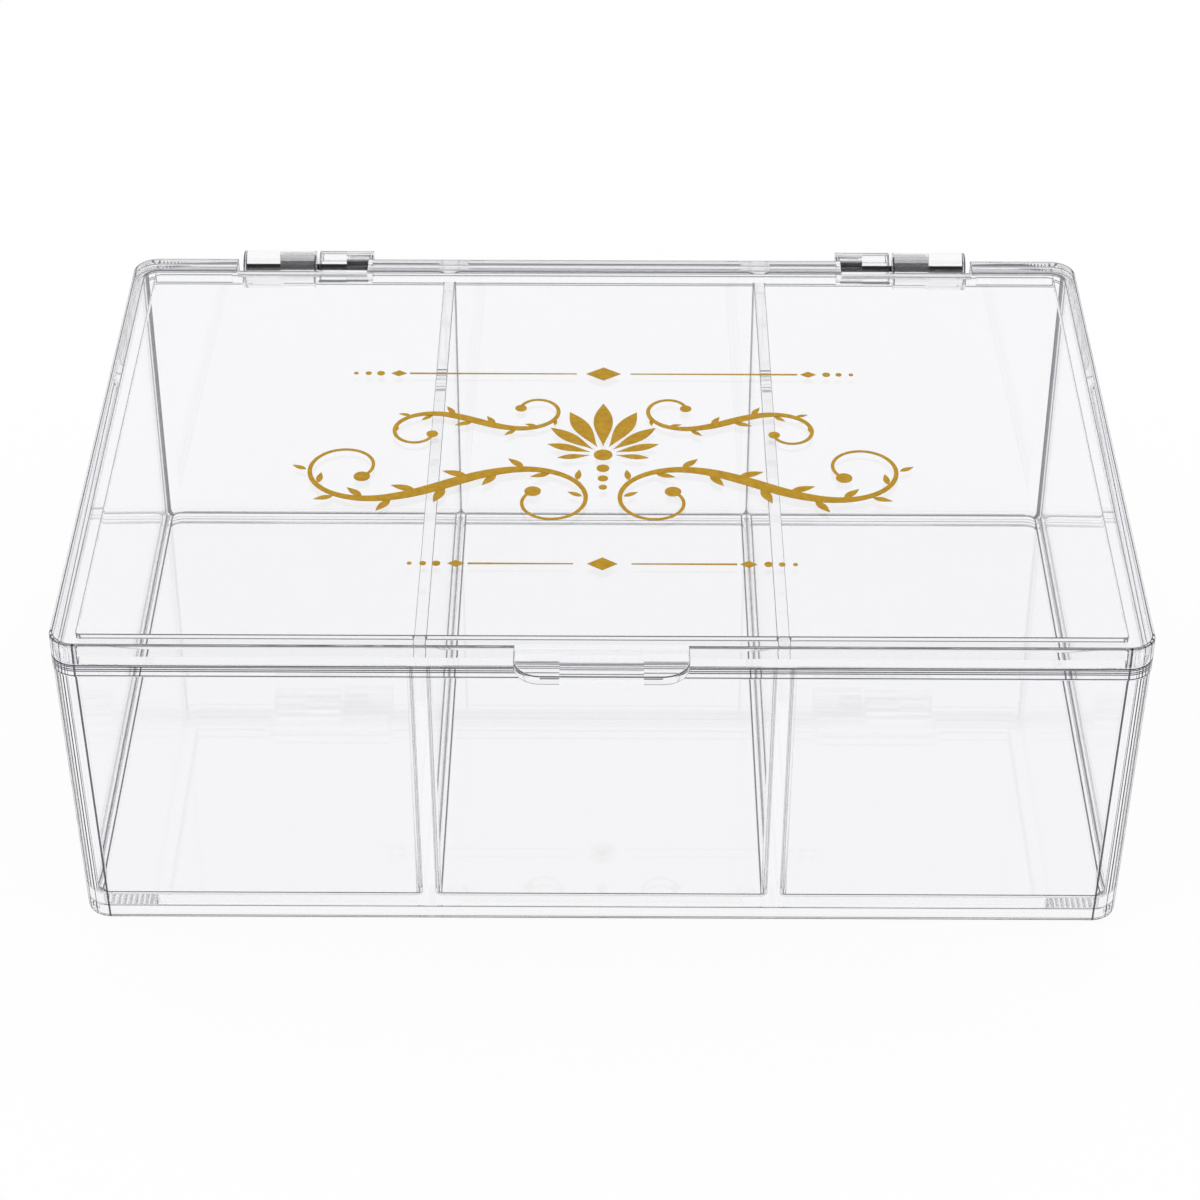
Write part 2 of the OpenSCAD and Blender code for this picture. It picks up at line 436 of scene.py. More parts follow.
def knuckle_arc(s, start, end, steps=40):
    """Points of a knuckle's round, from one angle to another, as (y, z)."""
    for step in range(steps + 1):
        angle = math.radians(start + (end - start) * step / steps)
        yield HINGE_Y + s.knuckle * math.cos(angle), HINGE_Z + s.knuckle * math.sin(angle)


def knuckle(s, x_start, length, neck_low, neck_high, heel=0.0):
    """A hinge knuckle, with a neck that reaches the box between two heights from the axis.

    The lid's knuckle also has a heel, which stops the open lid against the tray.
    """
    neck_y = HINGE_Y - s.axis_back - s.wall / 2
    first, last = (180 - math.degrees(math.asin(z / s.knuckle)) for z in (neck_low, neck_high))
    outline = [(neck_y, HINGE_Z + neck_low)]
    if heel:
        outline += list(knuckle_arc(s, first - 360, -math.degrees(math.asin(heel / s.knuckle))))
        outline += [(HINGE_Y + s.knuckle, HINGE_Z - heel)]
        outline += list(knuckle_arc(s, 0, last))
    else:
        outline += list(knuckle_arc(s, first - 360, last))
    outline += [(neck_y, HINGE_Z + neck_high)]
    return bevelled(prism_along_x("knuckle", outline, x_start, length), 0.4 * MM)


def pin_way(s, x_start, length):
    """The bore through a knuckle, and the pass-core slots that open it upwards and then downwards."""
    circle = [
        (HINGE_Y + s.bore * math.cos(a), HINGE_Z + s.bore * math.sin(a))
        for a in (math.tau * step / 48 for step in range(48))
    ]
    yield prism_along_x("bore", circle, x_start - PAST, length + 2 * PAST)
    # A little narrower than the bore, so that the slot's sides cut its round instead of grazing it.
    side = s.bore * 0.998
    near_y, far_y = HINGE_Y - side, HINGE_Y + side
    for x, up in ((x_start - PAST, 1), (x_start + length / 2, -1)):
        end_z = HINGE_Z + up * (s.knuckle + PAST)
        outline = [(near_y, HINGE_Z), (far_y, HINGE_Z), (far_y, end_z), (near_y, end_z)]
        yield prism_along_x("slot", outline, x, length / 2 + PAST)


def mirrored(obj):
    """A mirror image of an object on the other side of the box."""
    twin = obj.copy()
    twin.data = obj.data.copy()
    twin.data.transform(Matrix.Scale(-1, 4, (1, 0, 0)))
    twin.data.flip_normals()
    bpy.context.scene.collection.objects.link(twin)
    return twin


def with_twins(objects):
    """The objects and their mirror images."""
    objects = list(objects)
    return objects + [mirrored(o) for o in objects]


def tray_outer(s):
    """The tray's outer shape: a rounded foot, leaning walls and the bead of the rim."""
    depth, y = depth_of(s), middle_y(s)
    bead_z = s.tray_height - s.bead

    def wall_corners(z):
        return plate_corners(s.width - 2 * end_lean(s, z), depth - 2 * front_lean(s, z), s.corner, y)

    rim = plate_corners(s.width, depth, s.corner, y)
    loops = [loop(wall_corners(rise), rise, inset) for inset, rise in rounded(s.edge)]
    loops.append(loop(wall_corners(bead_z), bead_z))
    loops += [loop(rim, bead_z + rise, inset) for inset, rise in rounded(s.small_edge)]
    # Lines on the foot's edge, on the bead's lower edge, round the bead, and on the rim's edge.
    drawn = [EDGE_STEPS - 1, *line_rows(EDGE_STEPS + 2)]
    for line in RIM_LINES:
        drawn.append(len(loops))
        loops += [loop(rim, s.tray_height - line), loop(rim, s.tray_height - line + RIM_LINE_WIDTH)]
    # Along the back, the two highest lines round the bead run together.
    filled = (len(loops) - 3,)
    drawn += line_rows(len(loops))
    loops += [loop(rim, s.tray_height - rise, inset) for inset, rise in reversed(list(rounded(s.small_edge)))]
    return loft("tray_moulding", loops, drawn, CORNER_STRIPES, filled)


def pocket(s, index):
    """The space of one compartment, rounded at its floor and flared at the rim's edge."""
    depth, y = depth_of(s), middle_y(s)
    pocket_width = (s.width - 2 * s.wall - (s.compartments - 1) * s.divider) / s.compartments
    middle = (index - (s.compartments - 1) / 2) * (pocket_width + s.divider)
    last = s.compartments - 1

    def corners(z):
        placed = []
        for side_x, side_y in ((1, 1), (-1, 1), (-1, -1), (1, -1)):
            at_end = (index == last and side_x > 0) or (index == 0 and side_x < 0)
            r = s.end_corner if at_end else s.divider_corner
            lean = end_lean(s, z) if at_end else 0
            x_c = middle + side_x * (pocket_width / 2 - lean - r)
            y_c = y + side_y * (depth / 2 - front_lean(s, z) - s.wall - r)
            placed.append((x_c, y_c, r))
        return placed

    loops = [loop(corners(s.floor + rise), s.floor + rise, inset) for inset, rise in rounded(s.floor_fillet)]
    top = s.tray_height
    for inset, rise in reversed(list(rounded(s.small_edge))):
        loops.append(loop(corners(top), top - rise, -inset))
    loops.append(loop(corners(top), top + PAST, -s.small_edge))
    stripes = [END_STRIPES if r == s.end_corner else DIVIDER_STRIPES for *_, r in corners(0)]
    # Lines round the floor and the rim, one more on the fillet in front, and a broad one on the rim behind.
    drawn = (0, *line_rows(-EDGE_STEPS - 1))
    before = (EDGE_STEPS - 2, EDGE_STEPS - 1)
    return loft("pocket", loops, drawn, stripes, range(-EDGE_STEPS - 1, -1), before)


def foot_hollow(s):
    """The hollow under the floor, inside the foot ring."""
    width = s.width - 2 * end_lean(s, 0) - 2 * s.wall
    depth = depth_of(s) - 2 * front_lean(s, 0) - 2 * s.wall
    corners = plate_corners(width, depth, s.corner - s.wall, middle_y(s))
    loops = [loop(corners, -PAST, -s.small_edge)]
    loops += [loop(corners, rise, -inset) for inset, rise in rounded(s.small_edge)]
    loops += [loop(corners, s.foot - rise, inset) for inset, rise in reversed(list(rounded(s.edge)))]
    # Lines on the foot ring's inner edge, and where the hollow's rounding meets its top.
    return loft("foot_hollow", loops, (*line_rows(1), -3, -2, -1), [END_STRIPES] * 4)


def make_tray(s):
    """The tray: its outer shape less the compartments and the foot's hollow, with its two knuckles."""
    start = s.lid_knuckle_x + s.lid_knuckle + s.knuckle_gap
    tray = tray_outer(s)
    combine(tray, [pocket(s, index) for index in range(s.compartments)], "DIFFERENCE")
    combine(tray, [foot_hollow(s)], "DIFFERENCE")
    combine(tray, with_twins([knuckle(s, start, s.tray_knuckle, -s.knuckle, 0)]), "UNION")
    combine(tray, with_twins(pin_way(s, start, s.tray_knuckle)), "DIFFERENCE")
    return polished(tray)


def finger_tab(s):
    """The finger tab, flush with the lid's top, with a thumb hollow under it."""
    front = middle_y(s) - depth_of(s) / 2
    back = front + s.lid_frame / 2
    y_c = front - s.tab_reach + s.tab_corner
    x_c = s.tab_width / 2 - s.tab_corner
    square = 0.5 * MM
    corners = [
        (s.tab_width / 2 - square, back - square, square),
        (-s.tab_width / 2 + square, back - square, square),
        (-x_c, y_c, s.tab_corner),
        (x_c, y_c, s.tab_corner),
    ]
    top = lid_top(s)
    low = s.height - s.tab_thickness
    loops = [loop(corners, low + rise, inset) for inset, rise in rounded(s.small_edge)]
    loops += [loop(corners, top - rise, inset) for inset, rise in reversed(list(rounded(s.small_edge)))]
    tab = loft("tab", loops, (*range(EDGE_STEPS), *line_rows(-EDGE_STEPS)))
    half = s.thumb_width / 2
    outline = [(-half, -PAST), (half, -PAST), (half, s.thumb_depth), (-half, s.thumb_depth)]
    y_range = (front - s.tab_reach - PAST, front - s.small_edge)
    hollow = loft("thumb_hollow", [[Vector((x, y, low + z)) for x, z in outline] for y in y_range])
    return combine(tab, [hollow], "DIFFERENCE")


def upright_block(name, x_range, y_range, z_range, radius=0.2 * MM, flare=0.0):
    """An upright block with round corners, whose top may flare to break the edge it cuts."""
    (x_0, x_1), (y_0, y_1), (z_0, z_1) = x_range, y_range, z_range
    x_0, x_1, y_0, y_1 = x_0 + radius, x_1 - radius, y_0 + radius, y_1 - radius
    corners = [(x_1, y_1, radius), (x_0, y_1, radius), (x_0, y_0, radius), (x_1, y_0, radius)]
    loops = [loop(corners, z_0)]
    if flare:
        loops += [loop(corners, z_1 - rise, -inset) for inset, rise in reversed(list(rounded(flare)))]
        loops.append(loop(corners, z_1 + PAST, -flare))
        return loft(name, loops, line_rows(1))
    return loft(name, [*loops, loop(corners, z_1)])


def notch_range(s):
    """Where the notch over the right hinge starts and ends along X."""
    start = s.lid_knuckle_x + s.overlap
    return start, s.lid_knuckle_x + s.lid_knuckle + s.knuckle_gap + s.tray_knuckle + s.notch_room


def notch_backing(s):
    """The part of the recess that stays solid in front of a notch."""
    back, (start, end) = middle_y(s) + depth_of(s) / 2, notch_range(s)
    y_range = (back - s.notch_deep - s.notch_wall, back)
    z_range = (s.tray_height + s.lid_gap - 2 * PAST, s.height)
    return upright_block("notch_backing", (start - s.notch_wall, end + s.notch_wall), y_range, z_range)


def hinge_notch(s):
    """The stepped notch in the lid over a hinge, which leaves the knuckles and the pin in view."""
    back = middle_y(s) + depth_of(s) / 2
    open_y = back + (s.axis_back - s.knuckle) / 2
    floor = s.tray_height + s.lid_gap + s.notch_wall
    deep = (floor, lid_top(s) - s.small_edge * 2)
    yield upright_block("notch", notch_range(s), (back - s.notch_deep, open_y), deep)
    step = (s.height - s.notch_step, lid_top(s))
    yield upright_block("notch", notch_range(s), (back - s.notch, open_y), step, flare=s.small_edge)


def make_lid(s):
    """The lid: a plate with a recess under its panel, a finger tab, two knuckles and the hinges' notches."""
    depth, y = depth_of(s), middle_y(s)
    bottom = s.tray_height + s.lid_gap
    outer = plate_corners(s.width, depth, s.corner, y)
    loops = [loop(outer, bottom + rise, inset) for inset, rise in rounded(s.small_edge)]
    loops += [loop(outer, lid_top(s) - rise, inset) for inset, rise in reversed(list(rounded(s.edge)))]
    # Lines on the lower edge and where the upper edge meets the top, which is a broader one along the back.
    lid = loft("lid_moulding", loops, (*line_rows(0), -1), CORNER_STRIPES, (-3, -2))
    inner = plate_corners(s.width - 2 * s.lid_frame, depth - 2 * s.lid_frame, 1 * MM, y)
    under = s.height - s.lid_panel
    loops = [loop(inner, bottom - PAST)]
    loops += [loop(inner, under - rise, inset) for inset, rise in reversed(list(rounded(s.small_edge)))]
    recess = loft("recess", loops, range(-EDGE_STEPS, 0), [DIVIDER_STRIPES] * 4)
    combine(recess, with_twins([notch_backing(s)]), "DIFFERENCE")
    combine(lid, [recess], "DIFFERENCE")
    combine(lid, [finger_tab(s)], "UNION")
    low_neck = knuckle(s, s.lid_knuckle_x, s.lid_knuckle, s.lid_gap, s.lid_gap + s.notch_wall, s.heel)
    combine(lid, with_twins([low_neck]), "UNION")
    combine(lid, with_twins([knuckle(s, s.lid_knuckle_x, s.overlap, s.lid_gap, s.knuckle)]), "UNION")
    combine(lid, with_twins(hinge_notch(s)), "DIFFERENCE")
    combine(lid, with_twins(pin_way(s, s.lid_knuckle_x, s.lid_knuckle)), "DIFFERENCE")
    return polished(lid)


def cornu_spiral(scale, end):
    """Points (x, y, heading, parameter) of a Cornu spiral, which bends ever tighter towards its two ends."""
    half = [(0.0, 0.0, 0.0, 0.0)]
    steps = round(end / SPIRAL_STEP)
    for step in range(steps):
        heading = math.pi * ((step + 0.5) * SPIRAL_STEP) ** 2 / 2
        x, y = half[-1][0] + SPIRAL_STEP * math.cos(heading), half[-1][1] + SPIRAL_STEP * math.sin(heading)
        t = (step + 1) * SPIRAL_STEP
        half.append((x, y, math.pi * t * t / 2, t))
    points = [(-x, -y, heading, -t) for x, y, heading, t in reversed(half)][:-1] + half
    return [(scale * x, scale * y, heading, t) for x, y, heading, t in points]


def placed(points, centre, turn, flip=1):
    """Spiral points flipped over, turned, and moved to their centre."""
    c, s = math.cos(turn), math.sin(turn)
    return [
        (centre[0] + x * c - flip * y * s, centre[1] + x * s + flip * y * c, flip * heading + turn, t)
        for x, y, heading, t in points
    ]


def foil(bm, outline, z, thickness):
    """A flat closed piece of foil over an outline of (x, y) points."""
    low = [bm.verts.new((x, y, z)) for x, y in outline]
    high = [bm.verts.new((x, y, z + thickness)) for x, y in outline]
    count = len(outline)
    for i in range(count):
        j = (i + 1) % count
        bm.faces.new((low[i], low[j], high[j], high[i]))
    bm.faces.new(list(reversed(low)))
    bm.faces.new(high)


def stroke(bm, points, widths, z, thickness):
    """A stroke of foil along a curve, as wide as widths says."""
    rings = []
    for (x, y, heading, _), width in zip(points, widths):
        side = Vector((-math.sin(heading), math.cos(heading), 0)) * width / 2
        middle = Vector((x, y, z))
        up = Vector((0, 0, thickness))
        corners = (middle - side, middle + side, middle + side + up, middle - side + up)
        rings.append([bm.verts.new(p) for p in corners])
    for here, there in zip(rings, rings[1:]):
        for i in range(4):
            j = (i + 1) % 4
            bm.faces.new((here[i], here[j], there[j], there[i]))
    bm.faces.new(list(reversed(rings[0])))
    bm.faces.new(rings[-1])


def leaf_outline(root, length, width, angle, fullness=0.8):
    """A pointed leaf from its root (x, y) along an angle."""
    c, s = math.cos(angle), math.sin(angle)
    points = []
    for k in range(2 * LEAF_POINTS):
        along, side = (k / LEAF_POINTS, 1) if k <= LEAF_POINTS else (2 - k / LEAF_POINTS, -1)
        across = side * width / 2 * math.sin(math.pi * along**fullness)
        points.append((root[0] + length * along * c - across * s, root[1] + length * along * s + across * c))
    return points


def disc_outline(x, y, radius, count=32):
    """Points (x, y) round a disc."""
    angles = [math.tau * k / count for k in range(count)]
    return [(x + radius * math.cos(a), y + radius * math.sin(a)) for a in angles]


def lozenge_outline(x, y, half_width, half_height):
    """Points (x, y) of a lozenge."""
    return [(x + half_width, y), (x, y + half_height), (x - half_width, y), (x, y - half_height)]


def new_object(name, bm=None, parts=((), ())):
    """An object from a bmesh, or from vertices and edges."""
    mesh = bpy.data.meshes.new(name)
    if bm is None:
        mesh.from_pydata(*parts, [])
    else:
        bmesh.ops.recalc_face_normals(bm, faces=bm.faces)
        bm.to_mesh(mesh)
        bm.free()
    obj = bpy.data.objects.new(name, mesh)
    bpy.context.scene.collection.objects.link(obj)
    return obj


def leaves_tree():
    """Geometry Nodes: leaves along a stem, left and right in turn, smaller towards its ends."""
    tree = bpy.data.node_groups.new("leaves_along_stem", "GeometryNodeTree")
    tree.interface.new_socket("Stem", in_out="INPUT", socket_type="NodeSocketGeometry")
    inputs = {"Leaf": "Object", "Count": "Int", "Size": "Float", "Lean": "Float", "Foil": "Material"}
    for name, kind in inputs.items():
        tree.interface.new_socket(name, in_out="INPUT", socket_type="NodeSocket" + kind)
    tree.interface.new_socket("Leaves", in_out="OUTPUT", socket_type="NodeSocketGeometry")
    given = node(tree, "NodeGroupInput").outputs
    curve = node(tree, "GeometryNodeMeshToCurve", links={"Mesh": given["Stem"]})
    spaced = node(
        tree, "GeometryNodeResampleCurve", links={"Curve": curve.outputs[0], "Count": given["Count"]}
    )
    leaf = node(tree, "GeometryNodeObjectInfo", {"As Instance": True}, {"Object": given["Leaf"]})
    tangent = node(tree, "GeometryNodeInputTangent")
    along = node(
        tree, "FunctionNodeAlignRotationToVector", {"axis": "X", "pivot_axis": "Z"},
        {"Vector": tangent.outputs[0]},
    )
    index = node(tree, "GeometryNodeInputIndex")
    parity = node(tree, "ShaderNodeMath", {"operation": "MODULO", 1: 2.0}, {0: index.outputs[0]})
    side = node(
        tree, "ShaderNodeMath", {"operation": "MULTIPLY_ADD", 1: 2.0, 2: -1.0}, {0: parity.outputs[0]}
    )
    angle = node(tree, "ShaderNodeMath", {"operation": "MULTIPLY"}, {0: side.outputs[0], 1: given["Lean"]})
    turn = node(tree, "ShaderNodeCombineXYZ", links={"Z": angle.outputs[0]})
    sideways = node(tree, "FunctionNodeEulerToRotation", links={"Euler": turn.outputs[0]})
    turned = node(
        tree, "FunctionNodeRotateRotation", {"rotation_space": "LOCAL"},
        {"Rotation": along.outputs[0], "Rotate By": sideways.outputs[0]},
    )
    place = node(tree, "GeometryNodeSplineParameter")
    swing = node(
        tree, "ShaderNodeMath", {"operation": "MULTIPLY_ADD", 1: 2.0, 2: -1.0}, {0: place.outputs["Factor"]}
    )
    away = node(tree, "ShaderNodeMath", {"operation": "ABSOLUTE"}, {0: swing.outputs[0]})
    smaller = node(
        tree, "ShaderNodeMath", {"operation": "MULTIPLY_ADD", 1: -LEAF_TAPER, 2: 1.0}, {0: away.outputs[0]}
    )
    size = node(tree, "ShaderNodeMath", {"operation": "MULTIPLY"}, {0: smaller.outputs[0], 1: given["Size"]})
    leaves = node(
        tree, "GeometryNodeInstanceOnPoints", {},
        {
            "Points": spaced.outputs[0], "Instance": leaf.outputs["Geometry"],
            "Rotation": turned.outputs[0], "Scale": size.outputs[0],
        },
    )
    real = node(tree, "GeometryNodeRealizeInstances", links={0: leaves.outputs[0]})
    gilded = node(
        tree, "GeometryNodeSetMaterial", links={"Geometry": real.outputs[0], "Material": given["Foil"]}
    )
    node(tree, "NodeGroupOutput", links={0: gilded.outputs[0]})
    return tree


def leaves_along(tree, stem, inputs):
    """The leaves of one stem, as a plain mesh object."""
    obj = new_object("leaves", parts=([p[:3] for p in stem], [(i, i + 1) for i in range(len(stem) - 1)]))
    modifier = obj.modifiers.new("leaves", "NODES")
    modifier.node_group = tree
    sockets = {item.name: item.identifier for item in tree.interface.items_tree if item.in_out == "INPUT"}
    for name, value in inputs.items():
        modifier[sockets[name]] = value
    return settle(obj)


def scroll(bm, o, points, thick, z):
    """A scroll of foil that swells in its middle and ends in round eyes."""
    swell, eye = 0.75, 0.6
    widths = [o.thin + (thick - o.thin) * math.exp(-((t / swell) ** 2)) for *_, t in points]
    stroke(bm, points, widths, z, o.foil - FOIL_LIFT)
    for x, y, *_ in (points[0], points[-1]):
        foil(bm, disc_outline(x, y, eye * thick), z, DISC_SHARE * o.foil)


def half_rule(bm, o, y, length, z):
    """The right half of a rule: it thins towards the middle, and ends in a lozenge and three dots."""
    start, half = 6.5 * MM, o.rule_width / 2
    line = [(start, y - half * 0.6), (length, y - half), (length, y + half), (start, y + half * 0.6)]
    foil(bm, line, z, DISC_SHARE * o.foil)
    foil(bm, lozenge_outline(length + 2.6 * MM, y, 1.9 * MM, 1.3 * MM), z, DISC_SHARE * o.foil)
    for n, radius in enumerate((0.95 * MM, 0.75 * MM, 0.55 * MM)):
        foil(bm, disc_outline(length + (7 + 3 * n) * MM, y, radius), z, DISC_SHARE * o.foil)


def petal(bm, o, root_y, angle, share, z):
    """A petal that stands off the palmette's hub at an angle, with a share of the middle petal's length."""
    hub, slimness, fullness = 3.2 * MM, 0.25, 1.25
    a, length = math.radians(angle), share * o.petal
    root = (hub * math.cos(a), root_y + hub * math.sin(a))
    foil(bm, leaf_outline(root, length, length * slimness, a, fullness), z, LEAF_SHARE * o.foil)


def all_leaves(o, large, small, z, gold):
    """The leaves of both right-hand scrolls, kept off the scrolls' tight ends."""
    bm = bmesh.new()
    foil(bm, leaf_outline((LEAF_ROOT, 0), 1, LEAF_WIDTH, 0), 0, LEAF_SHARE * o.foil / o.leaf)
    leaf = new_object("leaf", bm)
    tree = leaves_tree()
    for curve, reach, size, count in ((large, 1.15, 1, o.leaves), (small, 1.0, 0.68, o.leaves * 2 // 3 + 1)):
        stem = [(x, y, z) for x, y, _, t in curve if abs(t) <= reach]
        inputs = {"Leaf": leaf, "Count": count, "Size": size * o.leaf, "Lean": LEAF_LEAN, "Foil": gold}
        yield leaves_along(tree, stem, inputs)
    bpy.data.objects.remove(leaf)


def right_half(o, large, small, middle, z):
    """The right half of the ornament, apart from its leaves and what lies in its middle."""
    bm = bmesh.new()
    scroll(bm, o, large, o.thick, z)
    scroll(bm, o, small, o.thick * 0.72, z)
    for angle, share in ((66, 0.89), (42, 0.73), (18, 0.57), (-8, 0.41)):
        petal(bm, o, middle + PALMETTE_UP, angle, share, z)
    half_rule(bm, o, middle + RULE_UP, o.rule, z)
    half_rule(bm, o, middle - RULE_DOWN, o.rule * 0.64, z)
    return new_object("half", bm)


def middle_line(o, middle, z):
    """What lies on the ornament's middle line: a petal, the rules' lozenges and a row of discs."""
    bm = bmesh.new()
    petal(bm, o, middle + PALMETTE_UP, 90, 1, z)
    foil(bm, lozenge_outline(0, middle + RULE_UP, 4.2 * MM, 2.9 * MM), z, DISC_SHARE * o.foil)
    foil(bm, lozenge_outline(0, middle - RULE_DOWN, 3.4 * MM, 2.4 * MM), z, DISC_SHARE * o.foil)
    for y, radius in ((3.2, 2.2), (-2.4, 1.5), (-6.6, 1.2), (-10.2, 0.95)):
        foil(bm, disc_outline(0, middle + y * MM, radius * MM), z, DISC_SHARE * o.foil)
    return new_object("lid_ornament", bm)


def make_ornament(s, o, gold):
    """Gold scrollwork: a palmette between two pairs of leafy scrolls, with a rule above and below."""
    middle = middle_y(s) - depth_of(s) / 2 + o.middle
    z = lid_top(s) + FOIL_LIFT
    large = placed(cornu_spiral(o.scroll, 1.98), (36 * MM, middle - 9 * MM), math.radians(-28))
    small = placed(cornu_spiral(o.small_scroll, 1.8), (30 * MM, middle + 17.5 * MM), math.radians(25), -1)
    leaves = list(all_leaves(o, large, small, z, gold))
    parts = with_twins([*leaves, right_half(o, large, small, middle, z)])
    ornament = middle_line(o, middle, z)
    joined = bmesh.new()
    for part in (ornament, *parts):
        joined.from_mesh(part.data)
    bmesh.ops.recalc_face_normals(joined, faces=joined.faces)
    joined.to_mesh(ornament.data)
    joined.free()
    for part in parts:
        bpy.data.objects.remove(part)
    for face in ornament.data.polygons:
        face.material_index = 0
    ornament.data.materials.append(gold)
    return ornament


def node(tree, kind, settings=None, links=None):
    """Adds a node: settings are by property name, or by input name or number, and links are by input."""
    made = tree.nodes.new(kind)
    for key, value in (settings or {}).items():
        if isinstance(key, int) or key in made.inputs:
            made.inputs[key].default_value = value
        else:
            setattr(made, key, value)
    for key, source in (links or {}).items():
        tree.links.new(source, made.inputs[key])
    return made


def material(name):
    """A new material and its empty node tree."""
    made = bpy.data.materials.new(name)
    made.use_nodes = True
    made.node_tree.nodes.clear()
    return made, made.node_tree


def clear_polystyrene(name, colour):
    """Clear polystyrene from a polished mould: clear through a wall, and a little grey along it. A dark
    colour makes painted reflection lines of it.
    """
    made, tree = material(name)
    shader = node(
        tree, "ShaderNodeBsdfPrincipled",
        {"Base Color": (*srgb(colour), 1), "Roughness": 0.0, "IOR": 1.59, "Transmission Weight": 1.0},
    )
    grey = node(tree, "ShaderNodeVolumeAbsorption", {"Color": (0.5, 0.5, 0.58, 1), "Density": 0.5})
    node(
        tree, "ShaderNodeOutputMaterial",
        links={"Surface": shader.outputs["BSDF"], "Volume": grey.outputs["Volume"]},
    )
    return made


def finish_plastic(obj):
    """Clear plastic on the faces, and in the second slot a dark one on the strips, which paints dark
    reflection lines.
    """
    # The second colour is painted: dark lines that stand in for a dark room mirrored in polished edges.
    colours = {"clear_polystyrene": "#FCFCFD", "clear_polystyrene_edge": "#1A1A24"}
    for slot, (name, colour) in enumerate(colours.items()):
        obj.data.materials[slot] = bpy.data.materials.get(name) or clear_polystyrene(name, colour)


def gold_foil():
    """Gold foil, hot-stamped on plastic: satin metal, with a mottle of 1.2 mm where it took more or less."""
    made, tree = material("hot_stamped_gold_foil")
    coords = node(tree, "ShaderNodeTexCoord")
    mottle = node(
        tree, "ShaderNodeTexNoise", {"Scale": 1 / (1.2 * MM), "Detail": 3.0},
        {"Vector": coords.outputs["Object"]},
    )
    tone = node(
        tree, "ShaderNodeMix",
        {"data_type": "RGBA", 6: (*srgb("#9C7410"), 1), 7: (*srgb("#D6AA34"), 1)}, {0: mottle.outputs[0]},
    )
    rough = node(tree, "ShaderNodeMapRange", {3: 0.32, 4: 0.44}, {0: mottle.outputs[0]})
    shader = node(
        tree, "ShaderNodeBsdfPrincipled", {"Metallic": 1.0},
        {"Base Color": tone.outputs[2], "Roughness": rough.outputs[0]},
    )
    node(tree, "ShaderNodeOutputMaterial", links={"Surface": shader.outputs["BSDF"]})
    return made


def drawn_steel():
    """Drawn steel wire with its base colour painted dark, a painted dark reflection: a dark gleam, broken by
    fine lines along the wire.

    The lines lie 0.15 mm apart, coarser than drawing leaves them, so that they show at all.
    """
    made, tree = material("drawn_steel_wire")
    coords = node(tree, "ShaderNodeTexCoord")
    along = node(tree, "ShaderNodeMapping", {"Scale": (0.05, 1, 1)}, {"Vector": coords.outputs["Object"]})
    lines = node(
        tree, "ShaderNodeTexNoise", {"Scale": 1 / (0.15 * MM), "Detail": 2.0},
        {"Vector": along.outputs["Vector"]},
    )
    rough = node(tree, "ShaderNodeMapRange", {3: 0.14, 4: 0.26}, {0: lines.outputs[0]})
    # The steel's dark base colour is painted: a painted reflection of dark surroundings.
    shader = node(
        tree, "ShaderNodeBsdfPrincipled", {"Base Color": (*srgb("#2B2927"), 1), "Metallic": 1.0},
        {"Roughness": rough.outputs[0]},
    )
    node(tree, "ShaderNodeOutputMaterial", links={"Surface": shader.outputs["BSDF"]})
    return made


class BOX_OT_tray(bpy.types.Operator):
    """Makes the tray's clear moulding."""

    bl_idname = "clear_box.tray"
    bl_label = "Tray"

    def execute(self, context):
        tray = make_tray(context.scene.box_sizes)
        finish_plastic(tray)
        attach(tray, "tray")
        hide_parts("tray")
        return {"FINISHED"}


class BOX_OT_lid(bpy.types.Operator):
    """Makes the lid's clear moulding."""

    bl_idname = "clear_box.lid"
    bl_label = "Lid"

    def execute(self, context):
        lid = make_lid(context.scene.box_sizes)
        finish_plastic(lid)
        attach(lid, "lid")
        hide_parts("lid")
        return {"FINISHED"}


class BOX_OT_ornament(bpy.types.Operator):
    """Makes the gold ornament on the lid."""

    bl_idname = "clear_box.ornament"
    bl_label = "Ornament"

    def execute(self, context):
        scene = context.scene
        ornament = make_ornament(scene.box_sizes, scene.ornament_sizes, gold_foil())
        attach(ornament, "lid")
        return {"FINISHED"}


class BOX_OT_pins(bpy.types.Operator):
    """Gives the hinge pins their steel."""

    bl_idname = "clear_box.pins"
    bl_label = "Hinge pins"

    def execute(self, context):
        steel = drawn_steel()
        for name in ("left_hinge_pin", "right_hinge_pin"):
            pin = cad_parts[name]
            pin.data.materials.clear()
            pin.data.materials.append(steel)
        return {"FINISHED"}


class BOX_OT_stage(bpy.types.Operator):
    """Makes the floor, the light and the camera."""

    bl_idname = "clear_box.stage"
    bl_label = "Stage"

    def execute(self, context):
        scene = context.scene
        s = scene.box_sizes
        make_floor()
        make_world(scene)
        make_camera(scene, middle_y(s) - depth_of(s) / 2)
        scene.view_settings.view_transform = "Standard"
        scene.cycles.max_bounces = BOUNCES
        scene.cycles.transmission_bounces = BOUNCES
        scene.cycles.glossy_bounces = BOUNCES
        scene.cycles.transparent_max_bounces = 16
        return {"FINISHED"}


def make_camera(scene, front):
    """The camera: in front of the box and above it, turned down to it."""
    lens = bpy.data.cameras.new("camera")
    lens.sensor_width = 36
    lens.lens = CAMERA_LENS
    lens.clip_start, lens.clip_end = 0.05, 20
    camera = bpy.data.objects.new("camera", lens)
    camera.location = (CAMERA_RIGHT, front - CAMERA_BEFORE, CAMERA_HEIGHT)
    pitch, yaw, roll = (math.radians(angle) for angle in (CAMERA_PITCH, CAMERA_YAW, CAMERA_ROLL))
    turn = Matrix.Rotation(-yaw, 4, "Z") @ Matrix.Rotation(math.radians(90) - pitch, 4, "X")
    camera.rotation_euler = (turn @ Matrix.Rotation(-roll, 4, "Z")).to_euler()
    scene.collection.objects.link(camera)
    scene.camera = camera


